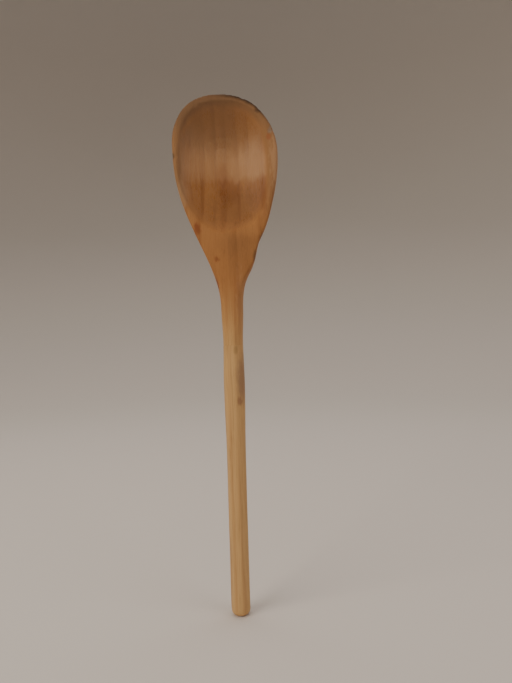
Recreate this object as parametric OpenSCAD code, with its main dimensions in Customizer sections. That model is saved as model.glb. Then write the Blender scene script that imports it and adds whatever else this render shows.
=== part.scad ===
// Long wooden cooking spoon: a carved head glued onto a turned handle.
// Z runs up the handle to the tip of the head, and the hollow opens towards -Y.
// The origin is on the handle's axis, half-way along the straight grip.
// Left and right are as seen from the hollow side: left is -X, right is +X.

/* [Overall] */
// Length from the butt of the handle to the tip of the head
total_length = 300; // [280:1:360]

/* [Head outline] */
// Reach of the head to the left of the handle's axis, where it is widest
left_reach = 31.5; // [30:0.1:36]
// Reach of the head to the right of the handle's axis, where it is widest
right_reach = 29; // [27:0.1:34]
// Distance from the tip down to the widest place on the left side
left_widest = 25; // [24:1:42]
// Distance from the tip down to the widest place on the right side
right_widest = 34; // [28:1:44]
// Height of the low bump on the right edge, where the shoulder nears the neck
right_bump = 2; // [0:0.1:2.4]
// How far the tip leans to the left of the handle's axis
tip_lean = 5.4; // [0:0.2:7]
// Distance from the tip down to where the shoulder has become the neck
shoulder_end = 120; // [112:1:126]

/* [Head section] */
// Distance from the handle's axis forward to the planed rim
front_depth = 7.5; // [6.8:0.1:9]
// Distance from the handle's axis back to the fullest place of the belly
back_depth = 8.5; // [8:0.1:12]
// Distance from the tip down to the fullest place of the belly
belly_drop = 46; // [38:1:56]
// How far the outer wall turns out below the rim, as an angle of its section
rim_turn = 12; // [6:1:18]
// Distance from the tip down to where the planed face starts to round over
face_end = 82; // [81:1:90]

/* [Hollow] */
// Width of the hollow at the rim
hollow_width = 53; // [44:0.1:53.6]
// Length of the hollow at the rim
hollow_length = 76; // [64:0.5:77]
// Depth of the hollow below the rim
hollow_depth = 8.2; // [5:0.1:10.5]
// How far the hollow's middle stands to the left of the handle's axis
hollow_offset = 2.2; // [1.4:0.1:2.4]
// Width of the rim at the tip
tip_rim = 2.4; // [2.2:0.1:5]
// Squareness of the outline's top left quarter, where 2 is an ellipse
top_left_square = 2.9; // [2:0.1:3]
// Squareness of the top right quarter
top_right_square = 2.5; // [2:0.1:2.6]
// Squareness of the bottom left quarter
low_left_square = 1.9; // [1.8:0.1:2.3]
// Squareness of the bottom right quarter
low_right_square = 2.4; // [1.8:0.1:2.6]
// Slope of the wall, where 0.5 is as steep as an ellipsoid and 1 is a shallow dish
hollow_wall = 0.78; // [0.5:0.02:1]

/* [Curves] */
// Fullness of the head's outline between the tip and the widest place
tip_fullness = 2.15; // [2:0.05:2.6]
// Fullness of the belly between the tip and its fullest place
belly_fullness = 2.2; // [2:0.05:2.6]
// How long the left side stays full before it draws in to the neck
left_draw = 1.25; // [1:0.01:1.5]
// How long the right side stays full before it draws in to the neck
right_draw = 1.11; // [1:0.01:1.5]
// How long the belly stays full before it draws in to the neck
back_draw = 1.1; // [0.9:0.01:1.4]

/* [Neck and handle] */
// Distance from the tip down to the glued joint line
joint_drop = 143; // [138:1:160]
// Diameter of the neck at the joint line
neck_diameter = 11.5; // [11:0.1:13.5]
// Extra radius of the neck just below the shoulder
neck_flare = 0.8; // [0:0.1:2]
// Diameter of the handle at its swell, below the joint line
swell_diameter = 12.2; // [11:0.1:14.5]
// Distance from the joint line down to the swell
swell_drop = 22; // [15:1:30]
// Diameter of the straight grip
grip_diameter = 11; // [10:0.1:13]
// Length of the straight grip
grip_length = 84; // [70:1:96]
// Radius of the rounded edge at the butt
butt_round = 3; // [1:0.1:4.5]

/* [Glued joint] */
// Diameter of the round tenon on top of the handle
tenon_diameter = 7.4; // [6:0.1:8]
// Length of the tenon
tenon_length = 20; // [12:1:24]
// Chamfer on the tenon's end
tenon_chamfer = 0.8; // [0.4:0.1:1.5]
// Thickness of the glue between tenon and socket, and between the shoulders
glue_gap = 0.1; // [0.05:0.01:0.2]
// How far the glue between the shoulders stops short of the outside
glue_inset = 0.3; // [0.1:0.05:0.8]
// Room left between the tenon's end and the drilled bottom
socket_room = 1.5; // [0.5:0.1:3]

/* [Hidden] */

butt_z = -(grip_length / 2 + butt_round);
tip_z = butt_z + total_length;
joint_z = tip_z - joint_drop;
hollow_z = tip_z - tip_rim - hollow_length / 2;
neck_radius = neck_diameter / 2;
swell_radius = swell_diameter / 2;
grip_radius = grip_diameter / 2;
tenon_radius = tenon_diameter / 2;
socket_radius = tenon_radius + glue_gap;
socket_depth = tenon_length + socket_room;
drill_point = socket_radius / tan(59);
bump_drop = shoulder_end - 27;
bump_spread = 8;

// Counts of points round a section, and of steps along the head
back_steps = 30;
face_steps = 14;
tip_steps = 14;
side_step = 3;
neck_steps = 5;
mouth_steps = 60;
hollow_steps = 9;

function clamp(v, low, high) = min(max(v, low), high);

// Eases from 0 to 1 with no slope at either end
function ease(u) = (1 - cos(180 * clamp(u, 0, 1))) / 2;

// Rises from 0 at the tip to 1 at the given distance, like a full ellipse
function swell_from_tip(s, widest, fullness) =
    pow(1 - pow(1 - clamp(s / widest, 0, 1), fullness), 1 / fullness);

// Falls from 1 at the given distance to 0 at the end of the shoulder
function draw_in(s, widest, late) =
    1 - ease(pow(clamp((s - widest) / (shoulder_end - widest), 0, 1), late));

// Radius that the head draws in to, flaring a little towards the shoulder
function neck_at(s) =
    neck_radius + neck_flare * ease((joint_drop - s) / (joint_drop - shoulder_end));

// One side's reach from the handle's axis, s below the tip
function side_reach(s, reach, widest, late, tip_reach) =
    s < widest
        ? tip_reach + (reach - tip_reach) * swell_from_tip(s, widest, tip_fullness)
        : neck_at(s) + (reach - neck_at(s)) * draw_in(s, widest, late);

function left_at(s) = side_reach(s, left_reach, left_widest, left_draw, tip_lean);
function right_at(s) =
    side_reach(s, right_reach, right_widest, right_draw, -tip_lean)
        + right_bump * exp(-pow((s - bump_drop) / bump_spread, 2));

// Front of the head: the planed face, then down the shoulder to the neck
function front_at(s) =
    let (fall = ease((s - face_end) / (shoulder_end - face_end)))
    front_depth + (neck_at(s) - front_depth) * fall;

// Back of the head, from the rim at the tip over the belly to the neck
function back_at(s) =
    s < belly_drop
        ? (front_depth + back_depth) * swell_from_tip(s, belly_drop, belly_fullness)
            - front_depth
        : neck_at(s) + (back_depth - neck_at(s)) * draw_in(s, belly_drop, back_draw);

// Angle below the section's middle at which the front face cuts it off
function turn_at(s) =
    let (opening = ease((s - face_end - 4) / (shoulder_end - face_end + 2)))
    rim_turn + (90 - rim_turn) * opening;

// Angles round a section: over the back, then across the front face
function section_angles(turn) = concat(
    [for (i = [0 : back_steps - 1]) -turn + (180 + 2 * turn) * i / back_steps],
    [for (i = [0 : face_steps - 1]) 180 + turn + (180 - 2 * turn) * i / face_steps]
);

// One section, s below the tip: an ellipse whose front is planed off
function section(s) =
    let (
        middle = (right_at(s) - left_at(s)) / 2,
        half_width = (right_at(s) + left_at(s)) / 2,
        front = front_at(s),
        half_depth = (front + back_at(s)) / (1 + sin(turn_at(s))),
        centre = back_at(s) - half_depth
    )
    [for (a = section_angles(min(turn_at(s), 40)))
        [middle + half_width * cos(a), max(centre + half_depth * sin(a), -front), tip_z - s]];

// Distances of the sections below the tip, close together where it rounds over
section_drops = concat(
    [for (i = [1 : tip_steps]) left_widest * (1 - cos(90 * i / tip_steps))],
    [for (s = [left_widest + side_step : side_step : shoulder_end - side_step / 2]) s],
    [for (i = [0 : neck_steps])
        shoulder_end + (joint_drop - glue_gap - shoulder_end) * i / neck_steps]
);

// Closed skin over rings of points, from a single point to a flat last ring
module skin(point, rings) {
    around = len(rings[0]);
    last = (len(rings) - 1) * around;
    polyhedron(
        points = concat([point], [for (ring = rings) each ring]),
        faces = concat(
            [for (i = [0 : around - 1]) [0, 1 + i, 1 + (i + 1) % around]],
            [for (k = [0 : len(rings) - 2], i = [0 : around - 1])
                let (a = 1 + k * around + i, b = 1 + k * around + (i + 1) % around)
                each [[a, a + around, b], [b, a + around, b + around]]],
            [[for (i = [around - 1 : -1 : 0]) 1 + last + i]]
        )
    );
}

// Outside of the head, shoulder and neck, before it is hollowed
module head_blank() {
    skin([-tip_lean, -front_depth, tip_z], [for (s = section_drops) section(s)]);
}

// Squareness of the quarter of the outline that an angle lies in, from the right upwards
function squareness(a) =
    a < 90 ? top_right_square
    : a < 180 ? top_left_square
    : a < 270 ? low_left_square
    : low_right_square;

function signed_power(v, p) = sign(v) * pow(abs(v), p);

// Outline of the hollow, scaled in from the rim and set at one depth
function hollow_ring(scale_in, y) =
    [for (i = [0 : mouth_steps - 1])
        let (a = 360 * i / mouth_steps, p = 2 / squareness(a))
        [
            hollow_width / 2 * scale_in * signed_power(cos(a), p) - hollow_offset,
            y,
            hollow_length / 2 * scale_in * signed_power(sin(a), p) + hollow_z
        ]];

// What the carver takes out: a dish that runs out past the planed face
module hollow() {
    skin(
        [-hollow_offset, hollow_depth - front_depth, hollow_z],
        concat(
            [for (i = [1 : hollow_steps])
                let (u = sin(90 * i / hollow_steps))
                hollow_ring(u, hollow_depth * pow(1 - u * u, hollow_wall) - front_depth)],
            [hollow_ring(1, -front_depth - 2)]
        )
    );
}

// Blind hole drilled up into the neck, with the drill's cone at its bottom
module socket() {
    translate([0, 0, joint_z - 1])
        cylinder(r = socket_radius, h = socket_depth + 1, $fn = 96);
    translate([0, 0, joint_z + socket_depth])
        cylinder(r1 = socket_radius, r2 = 0.05, h = drill_point, $fn = 96);
}

// Carved head with its shoulder and neck
module bowl_head() {
    color([0.50, 0.31, 0.16])
        difference() {
            head_blank();
            hollow();
            socket();
        }
}

// Radius of the handle at a height below the joint line
function handle_radius(z) =
    let (down = joint_z - z, taper = joint_z - swell_drop - grip_length / 2)
    down < swell_drop
        ? neck_radius + (swell_radius - neck_radius) * ease(down / swell_drop)
        : grip_radius + (swell_radius - grip_radius)
            * ease((z - grip_length / 2) / taper);

handle_step = (joint_z - grip_length / 2) / 24;

// Half outline of the handle, from the middle of the butt up to the tenon
handle_outline = concat(
    [[0, butt_z]],
    [for (a = [0 : 10 : 90])
        [grip_radius - butt_round + butt_round * sin(a), butt_z + butt_round * (1 - cos(a))]],
    [for (i = [0 : 24])
        [handle_radius(grip_length / 2 + i * handle_step), grip_length / 2 + i * handle_step]],
    [
        [tenon_radius, joint_z],
        [tenon_radius, joint_z + tenon_length - tenon_chamfer],
        [tenon_radius - tenon_chamfer, joint_z + tenon_length],
        [0, joint_z + tenon_length]
    ]
);

// Turned handle with a rounded butt, a straight grip, a swell and a tenon
module handle() {
    color([0.62, 0.47, 0.31])
        rotate_extrude($fn = 96)
            polygon(handle_outline);
}

// Set glue: a thin sleeve round the tenon and a thin ring between the shoulders
module glue_film() {
    color([0.80, 0.66, 0.36])
        rotate_extrude($fn = 96)
            polygon([
                [tenon_radius, joint_z],
                [neck_radius - glue_inset, joint_z],
                [neck_radius - glue_inset, joint_z + glue_gap],
                [socket_radius, joint_z + glue_gap],
                [socket_radius, joint_z + tenon_length - tenon_chamfer],
                [tenon_radius, joint_z + tenon_length - tenon_chamfer]
            ]);
}

bowl_head();
handle();
glue_film();
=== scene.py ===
# %% [markdown]
# # A used wooden cooking spoon
# This notebook dresses the measured model of a wooden spoon: a carved head with
# a broad oval hollow, glued on top of a turned handle. The measured solids give
# every size and place. Here they get the soft edges, the hand work, the grain
# and the cooking stains that make a plain shape look like wood that was used.

# %% Load the measured model
import math

import bmesh
import bpy
import numpy as np
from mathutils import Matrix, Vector, kdtree, noise


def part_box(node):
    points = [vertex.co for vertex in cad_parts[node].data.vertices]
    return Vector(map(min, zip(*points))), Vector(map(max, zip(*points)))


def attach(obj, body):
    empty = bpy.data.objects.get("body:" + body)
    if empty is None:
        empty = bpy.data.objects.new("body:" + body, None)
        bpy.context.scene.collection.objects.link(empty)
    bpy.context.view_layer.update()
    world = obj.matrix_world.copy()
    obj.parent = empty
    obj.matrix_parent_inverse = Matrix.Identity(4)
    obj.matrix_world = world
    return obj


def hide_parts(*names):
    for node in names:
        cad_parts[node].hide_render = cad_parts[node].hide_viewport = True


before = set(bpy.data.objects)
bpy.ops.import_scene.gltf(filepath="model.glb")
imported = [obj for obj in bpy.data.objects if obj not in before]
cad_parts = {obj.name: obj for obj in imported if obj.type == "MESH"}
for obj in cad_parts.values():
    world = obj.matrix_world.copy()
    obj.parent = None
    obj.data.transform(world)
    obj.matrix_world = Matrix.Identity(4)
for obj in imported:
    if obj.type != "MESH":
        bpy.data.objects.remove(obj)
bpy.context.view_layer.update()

# %% [markdown]
# Blender works in metres, and a spoon maker thinks in millimetres, so one name
# turns the one into the other. The joint line is the lowest place of the head,
# and the tip is its highest. All other places are counted from those two.

# %% Name the places on the spoon
MM = 0.001
head_low, head_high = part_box("bowl_head")
handle_low, handle_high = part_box("handle")
tip_z = head_high.z
joint_z = head_low.z
butt_z = handle_low.z
rim_y = head_low.y


def below_tip(drop):
    """The height of a place that lies drop mm below the tip."""
    return tip_z - drop * MM


print("tip, joint and butt heights, mm:", [round(z / MM, 1) for z in (tip_z, joint_z, butt_z)])

# %% [markdown]
# Meshes are read and written as tables of points with numpy, because a head
# with tens of thousands of points is slow to move one point at a time.

# %% Helpers that read and write a mesh's points
def points_of(mesh):
    table = np.empty(len(mesh.vertices) * 3)
    mesh.vertices.foreach_get("co", table)
    return table.reshape(-1, 3)


def normals_of(mesh):
    table = np.empty(len(mesh.vertices) * 3)
    mesh.vertex_normals.foreach_get("vector", table)
    return table.reshape(-1, 3)


def put_points(mesh, table):
    mesh.vertices.foreach_set("co", table.ravel())
    mesh.update()


def ease(value, low, high):
    """0 below low, 1 above high, and a smooth rise between them."""
    u = np.clip((value - low) / (high - low), 0, 1)
    return u * u * (3 - 2 * u)


print("points on the measured head:", len(points_of(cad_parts["bowl_head"].data)))

# %% [markdown]
# A finished piece takes the place of one measured solid. It moves with the one
# body of the spoon.

# %% Helper that puts a finished piece in the frame
def in_place_of(name, mesh, node):
    """A finished piece that stands for one measured node."""
    piece = bpy.data.objects.new(name, mesh)
    bpy.context.scene.collection.objects.link(piece)
    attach(piece, "root")
    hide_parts(node)
    return piece

# %% [markdown]
# ## Handle and neck: the shave marks
# The maker takes a handle like this down with a spokeshave, one long stroke
# beside the other. That leaves about seven soft flats with low ridges between
# them, which wander slowly round the handle. Each flat is a side of a
# seven-sided stick, taken not quite half-way from round to flat. A ridge near
# the front divides a light side from a dark one. The flats run on through the
# joint into the neck, so one function shapes both pieces.

# %% The soft flats left by the spokeshave
FLATS = 7
FLATNESS = 0.45
KEPT_FULL = 0.035
RIDGE_TURN = math.radians(8)
RIDGE_TURN_PER_MM = math.radians(0.06)


def flats_at(x, y, z):
    """How far the surface lies below a true round, as a share of its radius."""
    ridge = RIDGE_TURN + RIDGE_TURN_PER_MM * (joint_z - z) / MM
    step = 2 * math.pi / FLATS
    from_middle = np.mod(np.arctan2(x, -y) - ridge, step) - step / 2
    fade = 1 - ease(z, joint_z + 4 * MM, joint_z + 24 * MM)
    below_ridges = FLATNESS * (1 - math.cos(step / 2) / np.cos(from_middle))
    return (below_ridges - KEPT_FULL) * fade


print("shave flats round the handle:", FLATS)

# %% [markdown]
# ## Handle
# A lathe shape is a half outline swept round an axis. The outline is measured
# from the solid handle, ring by ring, so the new handle keeps its swell, its
# straight grip and its rounded butt. The neck is measured too, because the
# handle has to meet it.

# %% Measure the handle's outline
GLUE_FILM = 0.1 * MM
cad_handle = points_of(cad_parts["handle"].data)
cad_heights = np.round(cad_handle[:, 2] / MM, 2)
cad_radii = np.hypot(cad_handle[:, 0], cad_handle[:, 1])
shaft_heights = np.unique(cad_heights[cad_heights < round(joint_z / MM, 2) - 0.3])
shaft_radii = np.array([cad_radii[cad_heights == h].max() for h in shaft_heights])
tenon_radius = cad_radii[cad_heights > joint_z / MM + 5].max()
cad_head = points_of(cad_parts["bowl_head"].data)
neck_end = cad_head[cad_head[:, 2] < joint_z + 0.05 * MM]
neck_radius = np.hypot(neck_end[:, 0], neck_end[:, 1]).max()
shoulder_z = joint_z - GLUE_FILM
print("outline rings:", len(shaft_heights), " tenon radius, mm:", round(tenon_radius / MM, 2))

# %% [markdown]
# The rounded butt keeps its measured rings. Above it the rings are close and
# evenly spaced, and each has many points, so the flats and a few small dents
# show as real shape. The last three rings are the tenon with its chamfer.

# %% Heights and radii of the rings
RING_GAP = 1.5 * MM
BUTT_ROUND = 3 * MM
TENON_CHAMFER = 0.8 * MM


def handle_rings():
    """Heights and radii up the shaft, then over the shoulder and up the tenon."""
    low = shaft_heights[0] * MM
    butt = [(z * MM, r) for z, r in zip(shaft_heights, shaft_radii) if z * MM < low + BUTT_ROUND]
    start = butt[-1][0]
    steps = int((shoulder_z - start) / RING_GAP)
    heights = [start + (shoulder_z - start) * (i + 1) / steps for i in range(steps)]
    known = np.append(shaft_heights * MM, shoulder_z)
    radii = np.interp(heights, known, np.append(shaft_radii, neck_radius))
    tenon = [
        (shoulder_z, tenon_radius),
        (handle_high.z - TENON_CHAMFER, tenon_radius),
        (handle_high.z, tenon_radius - TENON_CHAMFER),
    ]
    return butt + list(zip(heights, radii)) + tenon


print("rings on the handle:", len(handle_rings()))

# %% Build the handle
AROUND = 112
FLATS_START = 4 * MM


def ring_of_points(bm, z, radius):
    shaved = z > butt_z + FLATS_START and radius > tenon_radius
    row = []
    for k in range(AROUND):
        a = 2 * math.pi * k / AROUND
        x, y = math.sin(a), -math.cos(a)
        cut = float(flats_at(x, y, z)) if shaved else 0
        r = radius * (1 - cut)
        row.append(bm.verts.new((r * x, r * y, z)))
    return row


def build_handle():
    bm = bmesh.new()
    rows = [ring_of_points(bm, z, radius) for z, radius in handle_rings()]
    for lower, upper in zip(rows, rows[1:]):
        for k in range(AROUND):
            j = (k + 1) % AROUND
            bm.faces.new((lower[k], lower[j], upper[j], upper[k]))
    bm.faces.new(rows[0][::-1])
    bm.faces.new(rows[-1])
    bmesh.ops.recalc_face_normals(bm, faces=bm.faces)
    mesh = bpy.data.meshes.new("turned_handle")
    bm.to_mesh(mesh)
    bm.free()
    mesh.shade_smooth()
    mesh.set_sharp_from_angle(angle=math.radians(40))
    return mesh


handle = in_place_of("turned_handle", build_handle(), "handle")
print("handle points:", len(handle.data.vertices))

# %% [markdown]
# A used handle isn't smooth. It has low waves from the shave, and small dents
# from knocks against pots. Waves are smooth noise that is stretched along the
# grain, and each dent is a shallow bowl pressed in along the surface normal.

# %% Waves and dents on the handle
WAVE_HEIGHT = 0.07 * MM
DENT_FROM_AXIS = 5.6
DENTS = [
    # angle round the handle, height, radius and depth in mm
    (12, 92, 1.6, 0.22),
    (-35, 58, 2.2, 0.18),
    (75, 30, 1.8, 0.2),
    (160, 70, 2.4, 0.25),
    (205, -12, 1.7, 0.2),
    (-70, 101, 1.4, 0.18),
    (140, 18, 1.3, 0.16),
]


def stretched_noise(table, across, along, seed):
    """Smooth noise from -1 to 1, longer along the grain than across it."""
    size = Vector((1 / across, 1 / across, 1 / along))
    away = Vector((seed * 7.3, seed * 3.1, seed * 5.7))
    return np.array([
        noise.noise(Vector((p[0] * size.x, p[1] * size.y, p[2] * size.z)) + away) for p in table
    ])


def wear_handle(mesh):
    table, out = points_of(mesh), normals_of(mesh)
    height = table[:, 2]
    off_tenon = np.hypot(table[:, 0], table[:, 1]) > tenon_radius + 0.5 * MM
    outside = off_tenon & (height < joint_z - 0.3 * MM)
    calm = 1 - ease(height, joint_z - 8 * MM, joint_z - 1 * MM)
    move = WAVE_HEIGHT * stretched_noise(table, 5 * MM, 28 * MM, seed=1) * calm
    for turn, dent_z, radius, depth in DENTS:
        a = math.radians(turn)
        middle = [DENT_FROM_AXIS * math.sin(a), -DENT_FROM_AXIS * math.cos(a), dent_z]
        gap = np.linalg.norm((table - np.array(middle) * MM) * [1, 1, 0.7], axis=1)
        move -= depth * MM * (1 - ease(gap, 0, radius * MM))
    put_points(mesh, table + out * (move * outside)[:, None])


wear_handle(handle.data)
print("dents in the handle:", len(DENTS))

# %% [markdown]
# ## Head
# The head starts as a copy of the solid head. A voxel remesh covers it with
# small even squares, and smoothing then rounds the sharp rim, the way years of
# scraping and washing do. The neck is first drawn down past the joint, and cut
# off flat again later, so its end stays crisp where it meets the handle.

# %% Copy, remesh and soften the head
VOXEL = 0.55 * MM
DRAWN_DOWN = 4 * MM
SOFTENING_STEPS = 20


def softened_head():
    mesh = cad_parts["bowl_head"].data.copy()
    table = points_of(mesh)
    table[table[:, 2] < joint_z + 0.02 * MM, 2] -= DRAWN_DOWN
    put_points(mesh, table)
    mesh.materials.clear()
    work = bpy.data.objects.new("head_in_work", mesh)
    bpy.context.scene.collection.objects.link(work)
    grid = work.modifiers.new("even_squares", "REMESH")
    grid.mode, grid.voxel_size, grid.adaptivity = "VOXEL", VOXEL, 0
    soft = work.modifiers.new("worn_soft", "SMOOTH")
    soft.factor, soft.iterations = 0.5, SOFTENING_STEPS
    shown = work.evaluated_get(bpy.context.evaluated_depsgraph_get())
    done = bpy.data.meshes.new_from_object(shown)
    bpy.data.objects.remove(work)
    return done


head_mesh = softened_head()
head_mesh.name = "carved_head"
print("head points after the remesh:", len(head_mesh.vertices))

# %% [markdown]
# Stains and wear follow the head's edge, so each point of the head is told how
# far it lies from the outline. The head is cut into thin slices, level ones and
# upright ones. The outermost points of each slice make the outline, and a
# search tree finds the nearest of them.

# %% Measure the distance to the outline
SLICE = 0.5 * MM


def outline_of(table):
    """The outline seen from the front, as a list of x and z."""
    x, z = table[:, 0], table[:, 2]
    found = []
    level = np.floor(z / SLICE).astype(int)
    for i in np.unique(level):
        row = x[level == i]
        found += [(row.min(), (i + 0.5) * SLICE), (row.max(), (i + 0.5) * SLICE)]
    column = np.floor(x / SLICE).astype(int)
    for i in np.unique(column):
        row = z[column == i]
        found.append(((i + 0.5) * SLICE, row.max()))
    return found


def distance_to(outline, table):
    tree = kdtree.KDTree(len(outline))
    for i, (x, z) in enumerate(outline):
        tree.insert((x, 0, z), i)
    tree.balance()
    return np.array([tree.find((p[0], 0, p[2]))[2] for p in table])


head_points = points_of(head_mesh)
to_outline = distance_to(outline_of(head_points), head_points)
print("points within 1 mm of the outline:", int((to_outline < MM).sum()))

# %% [markdown]
# Smoothing drew the thin edge in, most of all at the tip, so the edge is moved
# out again by as much. The right shoulder is a little fuller than a plain
# curve, and the maker left a flat on the front of the neck. All three are
# shifts of the head's points.

# %% Edge, right shoulder and flat front of the neck
EDGE_BACK = 0.25 * MM
TIP_BACK = 1.2 * MM
EDGE_WIDTH = 3 * MM
FULLER_RIGHT = [
    # mm below the tip, spread and amount in mm
    (75, 11, 1.1),
    (99, 6, 1.0),
]
NECK_FLAT = 5.1 * MM
NECK_SHARE = 0.7


def edge_shift(out, z):
    """Outwards near the outline, and by more at the tip."""
    edge = (1 - ease(to_outline, 0, EDGE_WIDTH)) * ease(z, joint_z + 20 * MM, joint_z + 40 * MM)
    back = EDGE_BACK + (TIP_BACK - EDGE_BACK) * ease(z, below_tip(14), below_tip(3))
    return out * [1, 0, 1] * (back * edge)[:, None]


def right_shift(x, z):
    """To the right, where the right shoulder is fuller."""
    on_right = ease(x, 2 * MM, 10 * MM)
    total = np.zeros(len(x))
    for drop, spread, amount in FULLER_RIGHT:
        from_middle = (z - below_tip(drop)) / (spread * MM)
        total += amount * MM * np.exp(-(from_middle**2)) * on_right
    return total


def neck_shift(y, z):
    """Backwards, by most of what stands proud of the flat on the neck."""
    neck = ease(z, joint_z + 3 * MM, joint_z + 12 * MM)
    neck = neck * (1 - ease(z, below_tip(114), below_tip(80)))
    return NECK_SHARE * np.clip(-NECK_FLAT - y, 0, None) * neck


print("fuller places on the right:", len(FULLER_RIGHT))

# %% [markdown]
# The hand work is real shape too: long low waves from the gouge and the knife,
# a low ridge that runs up the middle of the shoulder, with the wood falling
# away on its right, and a few nicks in the rim.

# %% Tool waves, ridge and nicks
RIDGE_X = -1.2 * MM
RIDGE_DROP = 0.7 * MM
RIDGE_FADE = 14 * MM
NICKS = [
    # x, height below the tip, radius and depth in mm
    (17.5, 9.5, 1.8, 0.7),
    (25.4, 21.5, 2.2, 0.6),
    (9.5, 2.2, 2.0, 0.45),
    (-29.6, 34, 1.5, 0.4),
    (-17.5, 5.0, 1.6, 0.3),
]


def tool_waves(table):
    gouge = 0.11 * MM * stretched_noise(table, 7 * MM, 24 * MM, seed=4)
    knife = 0.05 * MM * stretched_noise(table, 2.2 * MM, 14 * MM, seed=5)
    return gouge + knife


def ridge_depth(x, y, z):
    right = np.clip(x - RIDGE_X, 0, None)
    on_shoulder = 1 - ease(z, below_tip(86), below_tip(78))
    in_front = 1 - ease(y, -2 * MM, 2 * MM)
    return RIDGE_DROP * (1 - np.exp(-right / RIDGE_FADE)) * on_shoulder * in_front


def nick_depth(x, y, z):
    on_rim = 1 - ease(y, rim_y + 2.5 * MM, rim_y + 5 * MM)
    total = np.zeros(len(x))
    for nick_x, drop, size, depth in NICKS:
        gap = np.hypot(x - nick_x * MM, z - below_tip(drop))
        total += depth * MM * (1 - ease(gap, 0, size * MM)) * on_rim
    return total


print("nicks in the rim:", len(NICKS))

# %% [markdown]
# Shifts and hand work come together here, with the shave flats round the neck.
# The wall of the socket is left alone, so that the tenon still fits. The
# distance to the outline is kept in the mesh, because the scorch on the rim is
# painted with it.

# %% Carve the head
SOCKET_RADIUS = 4.6 * MM
SOCKET_DEPTH = 26 * MM


def carve_head(mesh):
    start, out = points_of(mesh), normals_of(mesh)
    x, y, z = start.T
    radius = np.hypot(x, y)
    shaped = start + edge_shift(out, z)
    shaped[:, 0] += right_shift(x, z)
    shaped[:, 1] += neck_shift(y, z)
    above = ease(z, joint_z + 4 * MM, joint_z + 30 * MM)
    move = (tool_waves(start) - ridge_depth(x, y, z)) * above
    move -= flats_at(x, y, z) * radius + nick_depth(x, y, z)
    socket = (radius < SOCKET_RADIUS) & (z < joint_z + SOCKET_DEPTH)
    put_points(mesh, shaped + out * (move * ~socket)[:, None])
    kept_distance = mesh.attributes.new("to_outline", "FLOAT", "POINT")
    kept_distance.data.foreach_set("value", to_outline)


carve_head(head_mesh)
print("carved points:", len(head_mesh.vertices))

# %% [markdown]
# The neck is now cut off level at the joint, and the cut is closed with flat
# faces.

# %% Cut the neck at the joint
def cut_at_joint(mesh):
    bm = bmesh.new()
    bm.from_mesh(mesh)
    everything = bm.verts[:] + bm.edges[:] + bm.faces[:]
    bmesh.ops.bisect_plane(
        bm, geom=everything, plane_co=(0, 0, joint_z), plane_no=(0, 0, 1), clear_inner=True
    )
    rim_edges = [e for e in bm.edges if e.is_boundary]
    bmesh.ops.triangle_fill(bm, edges=rim_edges, use_beauty=True, normal=(0, 0, -1))
    bmesh.ops.recalc_face_normals(bm, faces=bm.faces)
    bm.to_mesh(mesh)
    bm.free()


cut_at_joint(head_mesh)
head_mesh.shade_smooth()
head_mesh.set_sharp_from_angle(angle=math.radians(50))
in_place_of("carved_head", head_mesh, "bowl_head")
print("head points:", len(head_mesh.vertices), " faces:", len(head_mesh.polygons))

# %% [markdown]
# ## Finishes
# Node trees are easier to read when a node is made and wired in one line. The
# first helper makes a node, sets its values, and links what is a socket. The
# others stand on it, for sums and products.

# %% Helpers for node trees
def add(tree, kind, inputs=None, **settings):
    node = tree.nodes.new(kind)
    for key, value in settings.items():
        setattr(node, key, value)
    for key, value in (inputs or {}).items():
        if isinstance(value, bpy.types.NodeSocket):
            tree.links.new(value, node.inputs[key])
        else:
            node.inputs[key].default_value = value
    return node


def maths(tree, operation, a, b=0.0, clamp=False):
    node = add(tree, "ShaderNodeMath", {0: a, 1: b}, operation=operation, use_clamp=clamp)
    return node.outputs[0]


def product(tree, *values):
    total = values[0]
    for value in values[1:]:
        total = maths(tree, "MULTIPLY", total, value)
    return total

# %% [markdown]
# A mask is a soft step between 0 and 1, rising or falling, and colours are
# blended by masks.

# %% Helpers for masks and colours
def rise(tree, value, low, high):
    """0 below low, 1 above high."""
    node = add(
        tree,
        "ShaderNodeMapRange",
        {"Value": value, "From Min": low, "From Max": high},
        interpolation_type="SMOOTHSTEP",
    )
    return node.outputs["Result"]


def fall(tree, value, low, high):
    """1 below low, 0 above high."""
    return maths(tree, "SUBTRACT", 1.0, rise(tree, value, low, high))


def blend_colours(tree, factor, a, b):
    node = add(tree, "ShaderNodeMix", data_type="RGBA")
    for socket, value in ((0, factor), (6, a), (7, b)):
        if isinstance(value, bpy.types.NodeSocket):
            tree.links.new(value, node.inputs[socket])
        else:
            node.inputs[socket].default_value = value
    return node.outputs[2]


def tinted(tree, colour, towards, *masks):
    """The colour, moved towards another one by the product of the masks."""
    return blend_colours(tree, product(tree, *masks), colour, towards)

# %% [markdown]
# Most patterns on wood are smooth noise, longer along the grain than across
# it. Places inside the wood are measured in the piece's own space, either in
# metres or in millimetres.

# %% Helpers for noise and places
def noise_texture(tree, place, scale, detail, roughness=0.5):
    """Noise from 0 to 1, with its own number of spots per unit along each axis."""
    stretched = add(tree, "ShaderNodeMapping", {"Vector": place, "Scale": scale}).outputs[0]
    settings = {"Vector": stretched, "Scale": 1.0, "Detail": detail, "Roughness": roughness}
    return add(tree, "ShaderNodeTexNoise", settings).outputs["Fac"]


def vector_maths(tree, operation, a, b):
    return add(tree, "ShaderNodeVectorMath", {0: a, 1: b}, operation=operation).outputs[0]


def length_of(tree, vector):
    return add(tree, "ShaderNodeVectorMath", {0: vector}, operation="LENGTH").outputs["Value"]


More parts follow.
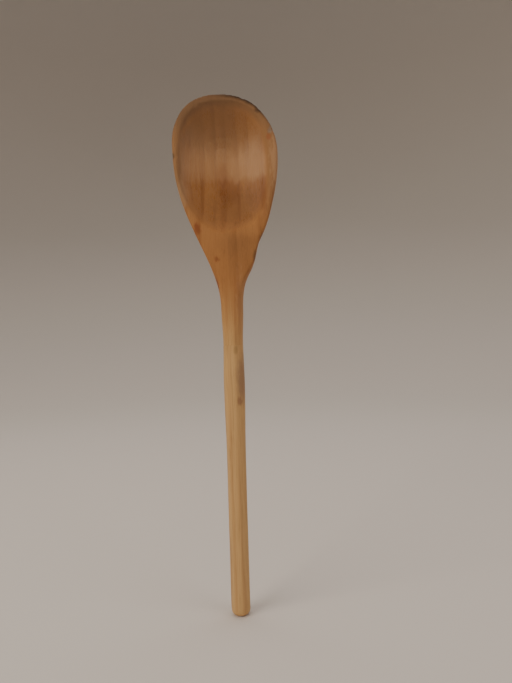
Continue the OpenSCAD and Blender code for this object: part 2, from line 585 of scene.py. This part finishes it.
def place_in_mm(tree):
    place = add(tree, "ShaderNodeTexCoord").outputs["Object"]
    scale = {0: place, "Scale": 1 / MM}
    return add(tree, "ShaderNodeVectorMath", scale, operation="SCALE").outputs[0]

# %% [markdown]
# An effect that both woods use is a node group with named sockets. It is built
# once, and placed in each material with its own values.

# %% Helpers for node groups
FLOAT, VECTOR = "NodeSocketFloat", "NodeSocketVector"


def new_group(name, inputs, outputs):
    group = bpy.data.node_groups.new(name, "ShaderNodeTree")
    for label, kind, value in inputs:
        socket = group.interface.new_socket(label, in_out="INPUT", socket_type=kind)
        if value is not None:
            socket.default_value = value
    for label in outputs:
        group.interface.new_socket(label, in_out="OUTPUT", socket_type=FLOAT)
    return group, group.nodes.new("NodeGroupInput"), group.nodes.new("NodeGroupOutput")


def place_group(tree, group, **values):
    node = tree.nodes.new("ShaderNodeGroup")
    node.node_tree = group
    for label, value in values.items():
        socket = node.inputs[label.replace("_", " ")]
        if isinstance(value, bpy.types.NodeSocket):
            tree.links.new(value, socket)
        else:
            socket.default_value = value
    return node

# %% [markdown]
# ### Grain
# The wood is a light, close-grained one such as birch or beech. Its fibres run
# along the spoon, so every pattern is noise stretched along Z. Three layers
# make it: broad bands of early and late wood round a pith that lies outside the
# spoon, dark streaks here and there, and fine fibre lines. One group gives all
# three, with the height of the worn surface, and both woods use it.

# %% Grain group
PITH_LEFT, PITH_BEHIND = 70.0, 25.0


def growth_rings(group, shifted, ring_width, fibre_noise):
    """1 in the late wood of each ring, 0 in the early wood."""
    parts = add(group, "ShaderNodeSeparateXYZ", {0: shifted})
    pith_x = maths(group, "ADD", parts.outputs["X"], PITH_LEFT)
    pith_y = maths(group, "SUBTRACT", parts.outputs["Y"], PITH_BEHIND)
    across = add(group, "ShaderNodeCombineXYZ", {0: pith_x, 1: pith_y}).outputs[0]
    wander = maths(group, "MULTIPLY", fibre_noise(24, 190, 1.0), 9.0)
    distance = maths(group, "ADD", length_of(group, across), wander)
    saw = maths(group, "FRACT", maths(group, "DIVIDE", distance, ring_width))
    late_wood = product(group, rise(group, saw, 0.25, 0.85), fall(group, saw, 0.86, 1.0))
    return product(group, late_wood, rise(group, fibre_noise(9, 90, 2.0), 0.3, 0.7))


def build_grain():
    group, given, result = new_group(
        "close_grain",
        [("Ring Width", FLOAT, 5.0), ("Streak Amount", FLOAT, 0.5), ("Seed", FLOAT, 0.0)],
        ["Rings", "Streaks", "Fibres", "Height"],
    )
    offset = add(group, "ShaderNodeCombineXYZ", {0: given.outputs["Seed"]}).outputs[0]
    shifted = vector_maths(group, "ADD", place_in_mm(group), offset)

    def fibre_noise(across, along, detail, roughness=0.5):
        """Noise with spots about across mm wide and along mm long."""
        size = (1 / across, 1 / across, 1 / along)
        return noise_texture(group, shifted, size, detail, roughness)

    rings = growth_rings(group, shifted, given.outputs["Ring Width"], fibre_noise)
    dark_lines = rise(group, fibre_noise(2.1, 80, 3.0, 0.6), 0.55, 0.74)
    streaks = product(group, dark_lines, given.outputs["Streak Amount"])
    fibres = fibre_noise(0.36, 15, 4.0, 0.65)
    raised = maths(group, "ADD", fibres, maths(group, "MULTIPLY", rings, 0.3))
    height = maths(group, "SUBTRACT", raised, maths(group, "MULTIPLY", streaks, 0.4))
    found = {"Rings": rings, "Streaks": streaks, "Fibres": fibres, "Height": height}
    for label, value in found.items():
        group.links.new(value, result.inputs[label])
    return group


grain = build_grain()
print("grain outputs:", [s.name for s in grain.interface.items_tree if s.in_out == "OUTPUT"])

# %% [markdown]
# ### Cooking stain
# Hot food and fat turn the head and the upper neck orange-brown, and the stain
# fades out down the handle. It creeps further along some fibres than others,
# so the height where it ends is shifted by stretched noise.

# %% Stain group
CREEP_SPOTS = (420, 420, 16)
CREEP = 22 * MM


def build_stain():
    group, given, result = new_group(
        "cooking_stain",
        [("Full Above", FLOAT, 0.15), ("None Below", FLOAT, 0.1)],
        ["Stain"],
    )
    place = add(group, "ShaderNodeTexCoord").outputs["Object"]
    height = add(group, "ShaderNodeSeparateXYZ", {0: place}).outputs["Z"]
    creep = noise_texture(group, place, CREEP_SPOTS, 3.0)
    shift = maths(group, "MULTIPLY", maths(group, "SUBTRACT", creep, 0.5), CREEP)
    shifted = maths(group, "ADD", height, shift)
    reached = rise(group, shifted, given.outputs["None Below"], given.outputs["Full Above"])
    group.links.new(reached, result.inputs["Stain"])
    return group


stain = build_stain()
print("stain inputs:", [s.name for s in stain.interface.items_tree if s.in_out == "INPUT"])

# %% [markdown]
# ### Spots
# Small marks with a soft, uneven edge, such as a knot, a scorch or a worn grey
# place, are the same thing at different places. The group gives 1 in the
# middle of the spot and 0 outside it, and the material gives its colour.

# %% Spot group
def build_spot():
    group, given, result = new_group(
        "soft_spot",
        [("Middle", VECTOR, None), ("Size", VECTOR, None), ("Raggedness", FLOAT, 0.5)],
        ["Spot"],
    )
    place = place_in_mm(group)
    away = vector_maths(group, "SUBTRACT", place, given.outputs["Middle"])
    gap = length_of(group, vector_maths(group, "DIVIDE", away, given.outputs["Size"]))
    rag = maths(group, "SUBTRACT", noise_texture(group, place, (0.9, 0.9, 0.3), 3.0), 0.5)
    rag = product(group, rag, given.outputs["Raggedness"], 2.0)
    spot = fall(group, maths(group, "ADD", gap, rag), 0.35, 1.0)
    group.links.new(spot, result.inputs["Spot"])
    return group


soft_spot = build_spot()


def spot_at(tree, middle, size, raggedness):
    node = place_group(tree, soft_spot, Middle=middle, Size=size, Raggedness=raggedness)
    return node.outputs["Spot"]


print("spot inputs:", [s.name for s in soft_spot.interface.items_tree if s.in_out == "INPUT"])

# %% [markdown]
# ### Colours
# Colours are picked as the eye sees them, from 0 to 255, and turned into the
# linear light that Blender works in. Stained and pale wood each have a second,
# darker tone for their late wood.

# %% Colours of the wood
def seen(red, green, blue):
    """A colour as the eye sees it, 0 to 255, turned into linear light."""
    def linear(v):
        v /= 255
        return v / 12.92 if v <= 0.04045 else ((v + 0.055) / 1.055) ** 2.4
    return (linear(red), linear(green), linear(blue), 1.0)


STAINED = seen(162, 109, 59)
STAINED_DARK = seen(150, 98, 51)
PALE = seen(193, 152, 97)
PALE_DARK = seen(180, 136, 85)
SCORCH = seen(44, 28, 18)
RED_BROWN = seen(108, 52, 16)
WORN_GREY = seen(140, 122, 104)
FIBRE_BROWN = seen(112, 74, 40)
HOLLOW_BROWN = seen(98, 64, 38)
# colour of the painted shade at the top left of the hollow
PAINTED_SHADE_BROWN = seen(84, 64, 48)
RIM_BROWN = seen(116, 92, 66)
# pale tone for the painted highlight across the hollow, a painted lighter patch on the neck and
# pale dry places on the rim
DRY_WOOD_AND_PAINTED_LIGHT = seen(190, 148, 108)
print("pale wood in linear light:", [round(v, 3) for v in PALE[:3]])

# %% [markdown]
# ### Plain wood
# Both pieces come from the same kind of board, so one function makes the wood
# of both, with its own ring width and seed. The pale and the stained colour
# each get their rings, and the cooking stain says which of them shows. Fibres
# and streaks are laid over both.

# %% Wood without marks
STREAK_AMOUNT = 0.35


def start_wood(name, ring_width, seed):
    """A new material, its grain node, and its colour before any marks."""
    material = bpy.data.materials.new(name)
    material.use_nodes = True
    tree = material.node_tree
    tree.nodes.clear()
    lines = place_group(
        tree, grain, Ring_Width=ring_width, Streak_Amount=STREAK_AMOUNT, Seed=seed
    )
    reached = place_group(
        tree, stain, Full_Above=joint_z + 38 * MM, None_Below=joint_z - 12 * MM
    )
    pale = blend_colours(tree, lines.outputs["Rings"], PALE, PALE_DARK)
    warm = blend_colours(tree, lines.outputs["Rings"], STAINED, STAINED_DARK)
    colour = blend_colours(tree, reached.outputs["Stain"], pale, warm)
    fibre_lines = rise(tree, lines.outputs["Fibres"], 0.45, 0.75)
    colour = tinted(tree, colour, FIBRE_BROWN, fibre_lines, 0.35)
    colour = tinted(tree, colour, RED_BROWN, lines.outputs["Streaks"], 0.8)
    return material, lines, colour


print("streak amount:", STREAK_AMOUNT)

# %% [markdown]
# Marks are painted one over the other from a table. The finish comes last:
# bare wood is dull, its fibres make it a little duller or shinier from place
# to place, and their height is a fine bump.

# %% Marks and finish
GRAIN_BUMP = 0.2 * MM


def paint_marks(tree, colour, marks, raggedness):
    for middle, size, mark, amount in marks:
        colour = tinted(tree, colour, mark, spot_at(tree, middle, size, raggedness), amount)
    return colour


def finish_wood(tree, lines, colour, roughness):
    from_fibres = maths(tree, "SUBTRACT", lines.outputs["Fibres"], 0.5)
    from_fibres = maths(tree, "MULTIPLY", from_fibres, 0.35)
    rough = maths(tree, "ADD", roughness, from_fibres, clamp=True)
    raised = {"Height": lines.outputs["Height"], "Strength": 0.35, "Distance": GRAIN_BUMP}
    bump = add(tree, "ShaderNodeBump", raised).outputs[0]
    wood = {"Base Color": colour, "Roughness": rough, "Normal": bump}
    shader = add(tree, "ShaderNodeBsdfPrincipled", wood)
    shader.inputs["Coat Roughness"].default_value = 0.3
    add(tree, "ShaderNodeOutputMaterial", {"Surface": shader.outputs[0]})
    return shader


print("fine bump, mm:", GRAIN_BUMP / MM)

# %% [markdown]
# ### Zones of the head
# Most of the head's marks belong to a zone: the hollow, the rim or the tip.
# Zones are masks made from the place on the head and from which way the
# surface looks, so each mark can name the zones it keeps to.

# %% Zones of the head
def head_zones(tree):
    place = add(tree, "ShaderNodeTexCoord").outputs["Object"]
    parts = add(tree, "ShaderNodeSeparateXYZ", {0: place})
    x, y, z = (parts.outputs[axis] for axis in "XYZ")
    normal = add(tree, "ShaderNodeNewGeometry").outputs["Normal"]
    to_back = add(tree, "ShaderNodeSeparateXYZ", {0: normal}).outputs["Y"]
    forward = rise(tree, maths(tree, "MULTIPLY", to_back, -1.0), 0.1, 0.5)
    depth = rise(tree, y, rim_y + 0.3 * MM, rim_y + 3.0 * MM)
    high_up = rise(tree, z, below_tip(84), below_tip(76))
    at_tip = rise(tree, z, below_tip(26), below_tip(8))
    deep_or_tip = maths(tree, "MAXIMUM", depth, at_tip)
    on_edge = fall(tree, depth, 0.0, 0.9)
    above_shoulder = rise(tree, z, below_tip(74), below_tip(50))
    return {
        "place": place,
        "x": x,
        "z": z,
        "forward": forward,
        "hollow": product(tree, depth, forward, high_up),
        "darkened": product(tree, deep_or_tip, forward, high_up),
        "rim": product(tree, on_edge, forward, above_shoulder),
    }

# %% [markdown]
# ### Colours of the hollow
# The hollow and the tip are darker than the shoulder, from fat that was rubbed
# in for years, and the upper left carries painted shade. Red-brown streaks run
# down the hollow with the grain. Across its middle a pale painted highlight
# lies in a band with a ragged lower edge.

# %% Painted shade, streaks and the painted highlight band
TIP = tip_z / MM
HOLLOW_STREAKS = [
    # middle and size in mm, strength
    ((0.5, 0.0, TIP - 52.5), (9.5, 20.0, 12.0), 0.42),
    ((-3.8, 0.0, TIP - 43.5), (4.6, 20.0, 10.0), 0.3),
    ((17.0, 0.0, TIP - 56.0), (10.0, 20.0, 14.0), 0.26),
    ((-3.4, 0.0, TIP - 61.0), (2.8, 20.0, 24.0), 0.22),
    ((6.2, 0.0, TIP - 60.0), (1.3, 20.0, 22.0), 0.3),
    ((20.5, 0.0, TIP - 56.0), (2.6, 20.0, 24.0), 0.34),
    ((-15.2, 0.0, TIP - 54.0), (1.3, 20.0, 26.0), 0.25),
    ((-18.6, 0.0, TIP - 44.0), (1.0, 20.0, 20.0), 0.2),
]
RAGGED_SPOTS = (300, 300, 60)
RAGGED_EDGE = 12 * MM


def painted_shade_upper_left(tree, colour, zones):
    to_right = rise(tree, zones["x"], -2 * MM, 16 * MM)
    amount = maths(tree, "SUBTRACT", 0.42, maths(tree, "MULTIPLY", to_right, 0.26))
    upper = rise(tree, zones["z"], below_tip(40), below_tip(18))
    # painted shade: darkens the top of the hollow, most on the left
    return tinted(tree, colour, PAINTED_SHADE_BROWN, upper, zones["darkened"], amount)


def hollow_streaks(tree, colour, zones):
    for middle, size, amount in HOLLOW_STREAKS:
        streak = spot_at(tree, middle, size, 0.25)
        colour = tinted(tree, colour, RED_BROWN, streak, zones["forward"], amount)
    return colour


def painted_highlight_band(tree, colour, zones):
    ragged = noise_texture(tree, zones["place"], RAGGED_SPOTS, 3.0)
    shift = maths(tree, "MULTIPLY", maths(tree, "SUBTRACT", ragged, 0.5), RAGGED_EDGE)
    edge_z = maths(tree, "ADD", zones["z"], shift)
    lower = rise(tree, edge_z, below_tip(49), below_tip(44))
    upper = fall(tree, edge_z, below_tip(38), below_tip(24))
    to_right = rise(tree, zones["x"], -4 * MM, 14 * MM)
    stronger = maths(tree, "ADD", maths(tree, "MULTIPLY", to_right, 0.5), 0.5)
    # painted highlight: a pale band with a ragged lower edge across the middle of the hollow
    return tinted(tree, colour, DRY_WOOD_AND_PAINTED_LIGHT, lower, upper, stronger, zones["hollow"], 0.3)


print("streaks in the hollow:", len(HOLLOW_STREAKS))

# %% [markdown]
# ### Shoulder and scorched edge
# The shoulder carries painted shade on the right of its ridge. The rim is scorched
# in a thin dark line at the tip, on the right, where it scrapes the hot pan.

# %% Painted shade and scorch
SCORCH_WIDTH = (0.75 * MM, 2.2 * MM)
SCORCH_WANDER = 1.4 * MM


def painted_shade_right_of_ridge(tree, colour, zones):
    right = rise(tree, zones["x"], RIDGE_X - 0.2 * MM, RIDGE_X + 0.6 * MM)
    upper = fall(tree, zones["z"], below_tip(84), below_tip(78))
    lower = rise(tree, zones["z"], below_tip(112), below_tip(96))
    # painted shade on the right of the shoulder's ridge
    return tinted(tree, colour, HOLLOW_BROWN, right, upper, lower, zones["forward"], 0.2)


def scorched_edge(tree, colour, zones):
    distance = add(tree, "ShaderNodeAttribute", attribute_name="to_outline").outputs["Fac"]
    patchy = add(
        tree,
        "ShaderNodeTexNoise",
        {"Vector": zones["place"], "Scale": 260.0, "Detail": 4.0, "Roughness": 0.6},
    ).outputs["Fac"]
    uneven = maths(tree, "ADD", distance, maths(tree, "MULTIPLY", patchy, SCORCH_WANDER))
    near = fall(tree, uneven, *SCORCH_WIDTH)
    from_left = rise(tree, zones["x"], -14 * MM, 10 * MM)
    to_right = fall(tree, zones["x"], 17 * MM, 27 * MM)
    at_top = rise(tree, zones["z"], below_tip(26), below_tip(14))
    return tinted(tree, colour, SCORCH, near, from_left, to_right, at_top, 0.9)


print("scorched width, mm:", [round(v / MM, 2) for v in SCORCH_WIDTH])

# %% [markdown]
# ### Spots of the head
# Knots, small burns and a grey worn place come from a table. The broad weak
# spots at its top even out the shoulder, the hollow, the rim and the neck.

# %% Spots of the head
HEAD_SPOTS = [
    # middle and size in mm, colour, strength
    ((2.0, -7.5, TIP - 84.0), (14.0, 5.0, 12.0), HOLLOW_BROWN, 0.17),
    ((4.0, -3.0, TIP - 62.0), (20.0, 14.0, 16.0), HOLLOW_BROWN, 0.3),
    ((-27.0, -7.0, TIP - 40.0), (5.0, 4.0, 34.0), RIM_BROWN, 0.25),
    ((-26.0, -7.0, TIP - 55.0), (5.0, 5.0, 12.0), DRY_WOOD_AND_PAINTED_LIGHT, 0.22),
    ((28.5, -7.0, TIP - 38.0), (5.5, 5.0, 22.0), DRY_WOOD_AND_PAINTED_LIGHT, 0.4),
    # painted light: a lighter patch on the right of the neck
    ((5.5, -2.5, TIP - 118.0), (4.5, 7.0, 30.0), DRY_WOOD_AND_PAINTED_LIGHT, 0.18),
    ((25.0, -6.5, TIP - 21.0), (1.6, 3.0, 3.0), WORN_GREY, 0.6),
    ((24.2, -7.0, TIP - 24.6), (1.8, 3.0, 2.4), seen(140, 70, 36), 0.55),
    ((18.4, -7.0, TIP - 9.6), (1.8, 3.0, 1.8), SCORCH, 0.55),
    ((-31.0, -6.0, TIP - 33.2), (1.1, 3.0, 2.6), SCORCH, 0.65),
    ((-18.4, -7.0, TIP - 75.8), (2.7, 3.0, 5.0), seen(118, 52, 18), 0.72),
    ((18.4, -4.5, TIP - 80.5), (1.5, 5.0, 7.0), SCORCH, 0.42),
    ((14.2, -4.5, TIP - 92.0), (1.5, 5.0, 6.0), SCORCH, 0.42),
    ((-7.6, -7.0, TIP - 93.4), (2.0, 3.0, 2.2), seen(118, 58, 22), 0.6),
    ((-8.0, -2.5, TIP - 108.0), (1.6, 4.0, 9.0), seen(112, 50, 24), 0.7),
]
print("spots on the head:", len(HEAD_SPOTS))

# %% [markdown]
# ### Gloss of the head
# Fat in the hollow gives it a cloudy, broken sheen and a thin coat. One place
# left of the middle was scraped dull. The rest of the head is as dull as the
# handle.

# %% Head material
BARE_ROUGHNESS = 0.55
CLOUDY_SPOTS = (110, 110, 70)
DULL_MIDDLE = (-3.6, 0, TIP - 43)
DULL_SIZE = (4.6, 20, 10)


def head_roughness(tree, zones):
    cloudy = noise_texture(tree, zones["place"], CLOUDY_SPOTS, 2.0)
    fat = maths(tree, "ADD", 0.12, maths(tree, "MULTIPLY", cloudy, 0.26))
    shinier = maths(tree, "SUBTRACT", BARE_ROUGHNESS, product(tree, zones["hollow"], fat))
    dull = spot_at(tree, DULL_MIDDLE, DULL_SIZE, 0.5)
    return maths(tree, "ADD", shinier, maths(tree, "MULTIPLY", dull, 0.2))


def make_head_wood():
    material, lines, colour = start_wood("stained_head_wood", ring_width=6.5, seed=12.0)
    tree = material.node_tree
    zones = head_zones(tree)
    colour = tinted(tree, colour, HOLLOW_BROWN, zones["darkened"], 0.26)
    colour = tinted(tree, colour, RIM_BROWN, zones["rim"], 0.4)
    for layer in (painted_shade_upper_left, hollow_streaks, painted_highlight_band, painted_shade_right_of_ridge, scorched_edge):
        colour = layer(tree, colour, zones)
    colour = paint_marks(tree, colour, HEAD_SPOTS, 0.6)
    shader = finish_wood(tree, lines, colour, head_roughness(tree, zones))
    coat = maths(tree, "MULTIPLY", zones["hollow"], 0.08)
    tree.links.new(coat, shader.inputs["Coat Weight"])
    shader.inputs["Specular IOR Level"].default_value = 0.35
    return material


head_mesh.materials.append(make_head_wood())
print("head finish:", head_mesh.materials[0].name)

# %% [markdown]
# ### Handle
# The handle is the same wood, mostly pale. It has a small knot on the right of
# its front, a greenish spot just under the joint, and between them a long
# grey-brown patch down its right side, partly grey wood and partly painted shade.

# %% Handle material
HANDLE_SPOTS = [
    # middle and size in mm, colour, strength
    ((3.2, -5.2, 79.8), (2.2, 3.0, 3.8), seen(120, 70, 48), 0.55),
    ((1.7, -5.6, 109.3), (1.7, 2.5, 3.4), seen(132, 100, 52), 0.45),
    # partly grey wood and partly painted shade on the right side of the handle
    ((5.8, -3.8, 92.6), (5.8, 9.0, 19.5), seen(124, 90, 72), 0.6),
]


def make_handle_wood():
    material, lines, colour = start_wood("pale_handle_wood", ring_width=5.0, seed=31.0)
    tree = material.node_tree
    colour = paint_marks(tree, colour, HANDLE_SPOTS, 0.3)
    finish_wood(tree, lines, colour, BARE_ROUGHNESS)
    return material


handle.data.materials.append(make_handle_wood())
print("spots on the handle:", len(HANDLE_SPOTS))

# %% [markdown]
# ### Glue
# The film of set glue lies inside the joint. Only its thin edge could ever be
# seen, in the hairline between neck and handle. It keeps its measured solid
# and gets an amber, slightly uneven finish.

# %% Glue material
def make_glue():
    material = bpy.data.materials.new("set_glue")
    material.use_nodes = True
    tree = material.node_tree
    shader = tree.nodes["Principled BSDF"]
    cloudy = add(tree, "ShaderNodeTexNoise", {"Scale": 900.0, "Detail": 3.0}).outputs["Fac"]
    colour = blend_colours(tree, cloudy, seen(196, 150, 84), seen(150, 104, 52))
    tree.links.new(colour, shader.inputs["Base Color"])
    rough = maths(tree, "ADD", maths(tree, "MULTIPLY", cloudy, 0.3), 0.2)
    tree.links.new(rough, shader.inputs["Roughness"])
    return material


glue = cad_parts["glue_film"]
glue.data.materials.clear()
glue.data.materials.append(make_glue())
print("glue finish:", glue.data.materials[0].name)

# %% [markdown]
# ## Studio
# A round cove, a pale floor that curves up into a wall all the way round,
# gives every view the same calm background. The spoon stands on its butt, and
# the floor lies a hair below it.

# %% Shape of the cove
COVE_RADIUS = 2.7
COVE_CURVE = 1.7
COVE_HEIGHT = 2.6
COVE_SIDES = 96
CURVE_STEPS = 18


def cove_outline(floor_z):
    """Radii and heights along the flat floor, the quarter round and the wall."""
    outline = [(0.2 * i, floor_z) for i in range(1, 5)]
    for i in range(CURVE_STEPS + 1):
        a = math.radians(90 * i / CURVE_STEPS)
        outline.append((
            COVE_RADIUS - COVE_CURVE + COVE_CURVE * math.sin(a),
            floor_z + COVE_CURVE * (1 - math.cos(a)),
        ))
    outline.append((COVE_RADIUS, floor_z + COVE_HEIGHT))
    return outline


def build_cove():
    bm = bmesh.new()
    floor_z = butt_z - 0.2 * MM
    turns = [2 * math.pi * k / COVE_SIDES for k in range(COVE_SIDES)]
    rows = [
        [bm.verts.new((r * math.cos(a), r * math.sin(a), z)) for a in turns]
        for r, z in cove_outline(floor_z)
    ]
    middle = bm.verts.new((0, 0, floor_z))
    for k in range(COVE_SIDES):
        j = (k + 1) % COVE_SIDES
        bm.faces.new((middle, rows[0][k], rows[0][j]))
        for lower, upper in zip(rows, rows[1:]):
            bm.faces.new((lower[k], upper[k], upper[j], lower[j]))
    mesh = bpy.data.meshes.new("studio_cove")
    bm.to_mesh(mesh)
    bm.free()
    mesh.shade_smooth()
    return mesh


cove = bpy.data.objects.new("studio_cove", build_cove())
bpy.context.scene.collection.objects.link(cove)
print("cove faces:", len(cove.data.polygons))

# %% Paper on the cove
def make_paper():
    material = bpy.data.materials.new("pale_paper")
    material.use_nodes = True
    tree = material.node_tree
    shader = tree.nodes["Principled BSDF"]
    mottle = add(tree, "ShaderNodeTexNoise", {"Scale": 3.0, "Detail": 2.0}).outputs["Fac"]
    colour = blend_colours(tree, mottle, seen(213, 203, 192), seen(208, 198, 187))
    tree.links.new(colour, shader.inputs["Base Color"])
    shader.inputs["Roughness"].default_value = 0.9
    return material


cove.data.materials.append(make_paper())
print("cove finish:", cove.data.materials[0].name)

# %% [markdown]
# ## Light
# One large soft light on the left in front shapes the spoon. It is hidden from
# reflections, so it lights the wood without a hard streak. It and the weaker
# fill on the right spread less widely than a bare lamp, so no edge of light
# shows on the cove. Weak lights behind keep the back readable, and a wide one
# overhead evens out the paper.

# %% Soft lamps
FRONT_SPREAD = math.radians(110)


def lamp(name, place, aim, size, power, colour=(1.0, 0.96, 0.91)):
    data = bpy.data.lights.new(name, "AREA")
    data.shape, data.size, data.size_y = "RECTANGLE", size[0], size[1]
    data.energy, data.color = power, colour
    thing = bpy.data.objects.new(name, data)
    thing.location = place
    thing.rotation_euler = (Vector(aim) - Vector(place)).to_track_quat("-Z", "Y").to_euler()
    thing.visible_camera = False
    bpy.context.scene.collection.objects.link(thing)
    return thing


middle = (0, 0, 0.15)
front_lamps = [
    lamp("soft_window", (-1.15, -0.95, 0.88), middle, (1.1, 0.8), 7.1, (1.0, 0.95, 0.88)),
    lamp("right_fill", (1.25, -0.75, 0.85), middle, (1.0, 0.6), 2.0, (1.0, 0.94, 0.98)),
]
other_lamps = [
    lamp("back_right", (0.6, 0.95, 1.6), middle, (1.2, 1.0), 4.5, (0.97, 0.96, 1.0)),
    lamp("back_left", (-0.6, 0.95, 1.6), middle, (1.2, 1.0), 4.5, (1.0, 0.97, 0.95)),
    lamp("overhead", (0, 0, 1.7), (0, 0, 0), (2.2, 2.2), 7.0),
]
for thing in front_lamps + other_lamps:
    thing.visible_glossy = False
for thing in front_lamps:
    thing.data.spread = FRONT_SPREAD
print("soft lamps:", len(front_lamps + other_lamps))

# %% [markdown]
# A row of low panels in front does the opposite: it is seen only in
# reflections, and lays the broad dull sheen across the hollow. The panels
# differ in power, because the sheen is uneven from left to right. A weak sky
# fills the deepest shadows.

# %% Sheen panels and sky
PANEL_AWAY = 1.2
PANEL_HEIGHT = 0.515
PANEL_AIM = (0, 0, 0.21)
PANEL_SIZE = (0.62, 0.165)
PANEL_COLOUR = (1.0, 0.81, 0.52)
PANEL_POWERS = {-58: 1.2, -30: 1.7, 0: 1.5, 30: 1.2, 58: 0.85}
for turn, power in PANEL_POWERS.items():
    a = math.radians(turn)
    place = (PANEL_AWAY * math.sin(a), -PANEL_AWAY * math.cos(a), PANEL_HEIGHT)
    panel = lamp(f"sheen_{turn}", place, PANEL_AIM, PANEL_SIZE, power, PANEL_COLOUR)
    panel.visible_diffuse = False

world = bpy.data.worlds.new("soft_room")
world.use_nodes = True
sky = world.node_tree.nodes["Background"].inputs
sky["Color"].default_value = (0.95, 0.93, 0.9, 1)
sky["Strength"].default_value = 0.33
bpy.context.scene.world = world
print("sheen panels:", len(PANEL_POWERS))

# %% [markdown]
# ## Camera
# The camera is level and close, about 30 cm away, with a wide lens like that
# of a phone. It is turned a little so that the spoon leans to the left.

# %% Camera
CAMERA_AWAY = 300 * MM
CAMERA_HEIGHT = below_tip(141.2)
CAMERA_SIDE = 13.3 * MM
CAMERA_TURN = math.radians(2.0)
ROLL = math.radians(1.7)
SENSOR_WIDTH = 36.0
LENS = 27.0

camera_data = bpy.data.cameras.new("camera")
camera_data.sensor_width = SENSOR_WIDTH
camera_data.lens = LENS
camera_data.clip_start = 0.01
camera = bpy.data.objects.new("camera", camera_data)
bpy.context.scene.collection.objects.link(camera)
towards = Vector((math.sin(CAMERA_TURN), -math.cos(CAMERA_TURN), 0))
sideways = Vector((math.cos(CAMERA_TURN), math.sin(CAMERA_TURN), 0))
camera.location = towards * CAMERA_AWAY + sideways * CAMERA_SIDE
camera.location.z = CAMERA_HEIGHT
camera.rotation_euler = (-towards).to_track_quat("-Z", "Y").to_euler()
camera.rotation_euler.rotate_axis("Z", -ROLL)
bpy.context.scene.camera = camera
print("camera place, mm:", [round(v / MM) for v in camera.location])
